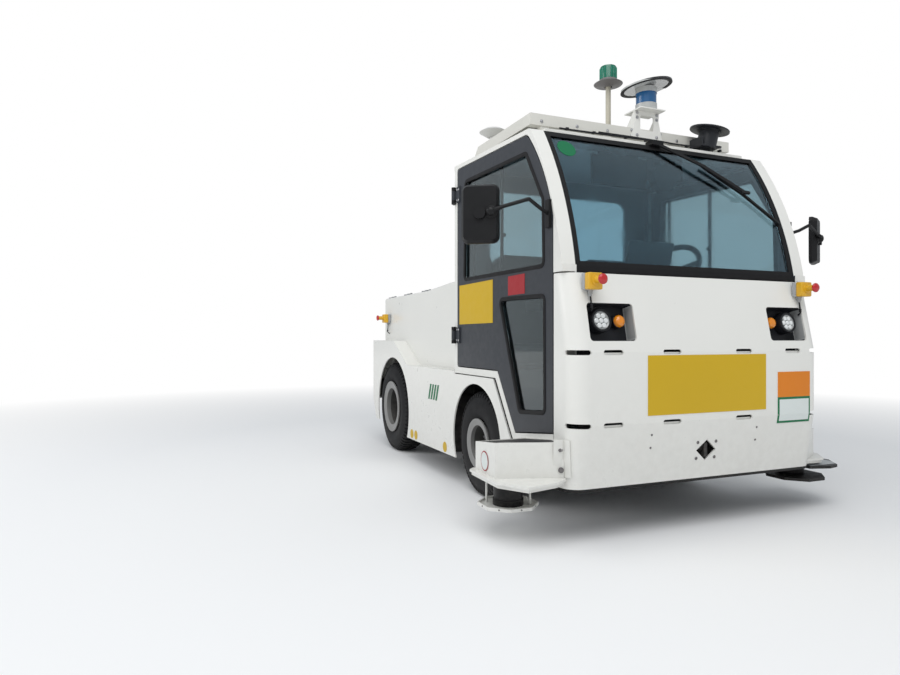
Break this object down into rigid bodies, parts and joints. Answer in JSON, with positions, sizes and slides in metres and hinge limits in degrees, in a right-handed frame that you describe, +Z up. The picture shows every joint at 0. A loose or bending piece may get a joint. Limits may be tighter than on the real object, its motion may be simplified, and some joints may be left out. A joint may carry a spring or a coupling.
{
  "type": "autonomous tow tractor",
  "caption": "Compact electric tow tractor with a two-seat cab, folded front panel, roof and corner scanners, battery hood and a stepped rear hitch.",
  "frame": {"origin": "on the ground under the middle of the overall length and width", "axes": "+Z up, -Y is the front, +X is the vehicle's left"},
  "size_m": [2.123, 3.242, 2.34],
  "materials": {
    "body_white": "satin",
    "door_paint": "satin",
    "rack_paint": "matte",
    "frame_paint": "matte",
    "cast": "rough",
    "steel": "worn",
    "rim_paint": "satin",
    "tyre": "worn",
    "glass": "clear",
    "rubber": "matte",
    "black_plastic": "textured",
    "seat_cover": "matte",
    "lamp": "clear",
    "rear_lamp": "clear",
    "sensor_blue": "gloss",
    "white_plastic": "satin",
    "beacon_green": "clear",
    "stop_yellow": "satin",
    "battery_case": "matte"
  },
  "bodies": {
    "body": {"beacon": "beacon_green", "body_side_left": "body_white", "body_side_right": "body_white", "cab_frame": "body_white", "cab_glass": "glass", "cab_tub": "frame_paint", "chassis_frame": "frame_paint", "corner_box_lids": "frame_paint", "corner_boxes": "body_white", "corner_lidars": "black_plastic", "dashboard": "black_plastic", "door_hinges": "steel", "front_axle": "cast", "front_lamps": "lamp", "front_panel": "body_white", "gnss_antenna": "white_plastic", "header_units": "black_plastic", "lid_hinges": "steel", "rear_axle": "cast", "rear_hood": "body_white", "rear_lamps": "rear_lamp", "roof": "body_white", "roof_lidar": "sensor_blue", "roof_lidar_bracket": "body_white", "roof_rack": "rack_paint", "seats": "seat_cover", "side_lidar": "sensor_blue", "steering_column": "steel", "stop_buttons": "stop_yellow", "tow_hitch": "frame_paint", "traction_battery": "battery_case", "windscreen_seal": "rubber", "wiper": "black_plastic"},
    "wheel_front_left": {"front_left_tyre": "tyre", "front_left_rim": "rim_paint"},
    "wheel_front_right": {"front_right_tyre": "tyre", "front_right_rim": "rim_paint"},
    "wheel_rear_left": {"rear_left_tyre": "tyre", "rear_left_rim": "rim_paint"},
    "wheel_rear_right": {"rear_right_tyre": "tyre", "rear_right_rim": "rim_paint"},
    "knuckle_left": {"knuckle_left": "cast"},
    "knuckle_right": {"knuckle_right": "cast"},
    "tie_rod": {"tie_rod": "steel"},
    "door_left": {"door_left": "door_paint", "door_glass_left": "glass", "mirror_left": "black_plastic"},
    "door_right": {"door_right": "door_paint", "door_glass_right": "glass", "mirror_right": "black_plastic"},
    "battery_lid": {"battery_lid": "body_white"},
    "steering_wheel": {"steering_wheel": "rubber"}
  },
  "joints": [
    {"name": "roll_front_left", "type": "hinge", "parent": "knuckle_left", "child": "wheel_front_left", "pos_m": [0.608, -0.609, 0.282], "axis": [1, 0, 0], "continuous": true},
    {"name": "roll_rear_left", "type": "hinge", "parent": "body", "child": "wheel_rear_left", "pos_m": [0.603, 0.939, 0.331], "axis": [1, 0, 0], "continuous": true},
    {"name": "steer_left", "type": "hinge", "parent": "body", "child": "knuckle_left", "pos_m": [0.47, -0.609, 0.282], "axis": [0, 0, 1], "range_deg": [-35, 35]},
    {"name": "door_left_swing", "type": "hinge", "parent": "body", "child": "door_left", "pos_m": [0.714, -0.336, 1.27], "axis": [0, 0, 1], "range_deg": [0, 80]},
    {"name": "roll_front_right", "type": "hinge", "parent": "knuckle_right", "child": "wheel_front_right", "pos_m": [-0.608, -0.609, 0.282], "axis": [1, 0, 0], "continuous": true},
    {"name": "roll_rear_right", "type": "hinge", "parent": "body", "child": "wheel_rear_right", "pos_m": [-0.603, 0.939, 0.331], "axis": [1, 0, 0], "continuous": true},
    {"name": "steer_right", "type": "hinge", "parent": "body", "child": "knuckle_right", "pos_m": [-0.47, -0.609, 0.282], "axis": [0, 0, 1], "range_deg": [-35, 35]},
    {"name": "door_right_swing", "type": "hinge", "parent": "body", "child": "door_right", "pos_m": [-0.714, -0.336, 1.27], "axis": [0, 0, -1], "range_deg": [0, 80]},
    {"name": "tie_rod_pivot", "type": "hinge", "parent": "knuckle_left", "child": "tie_rod", "pos_m": [0.47, -0.479, 0.205], "axis": [0, 0, 1], "range_deg": [-35, 35]},
    {"name": "steering_turn", "type": "hinge", "parent": "body", "child": "steering_wheel", "pos_m": [0.26, -1.001, 1.2], "axis": [0, 0.7071, 0.7071], "range_deg": [-525, 525]},
    {"name": "battery_lid_lift", "type": "hinge", "parent": "body", "child": "battery_lid", "pos_m": [-0.56, 0.918, 1.188], "axis": [0, -1, 0], "range_deg": [0, 75]}
  ],
  "couplings": [
    {"joint": "steer_right", "follows": "steer_left", "ratio": 1},
    {"joint": "tie_rod_pivot", "follows": "steer_left", "ratio": -1},
    {"joint": "steering_turn", "follows": "steer_left", "ratio": 15}
  ]
}
